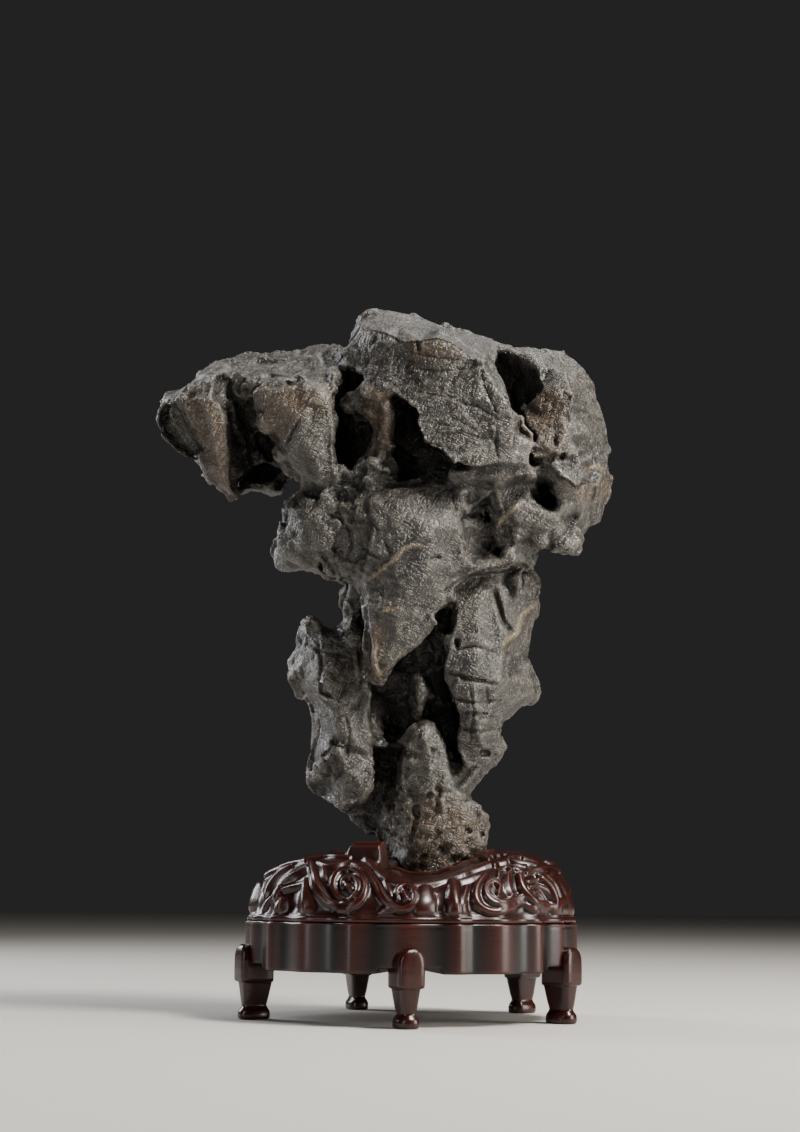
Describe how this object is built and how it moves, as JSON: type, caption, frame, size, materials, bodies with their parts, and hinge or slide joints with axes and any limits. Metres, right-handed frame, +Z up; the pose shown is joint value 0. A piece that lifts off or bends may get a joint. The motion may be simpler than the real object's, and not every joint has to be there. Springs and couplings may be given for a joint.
{
  "type": "scholars rock on carved wooden stand",
  "caption": "Upright, hollowed and wrinkled dark stone with a wide overhanging head, standing in the well of a round carved hardwood stand with a scalloped apron and bracket legs.",
  "frame": {"origin": "on the floor, under the centre of the box around the whole object", "axes": "+Z up, the front with the dipped lip of the well faces -Y, +X is to the right seen from the front"},
  "size_m": [0.2966, 0.2142, 0.4511],
  "materials": {
    "stone": "waxed natural stone, satin",
    "carved_wood": "carved and polished dark rosewood",
    "apron_wood": "polished dark rosewood, grain lengthwise",
    "leg_wood": "polished dark rosewood, grain upright"
  },
  "bodies": {
    "root": {"rock": "stone", "stand_top": "carved_wood", "stand_apron": "apron_wood", "leg_front": "leg_wood", "leg_right": "leg_wood", "leg_back_right": "leg_wood", "leg_back_left": "leg_wood", "leg_left": "leg_wood"}
  },
  "joints": []
}
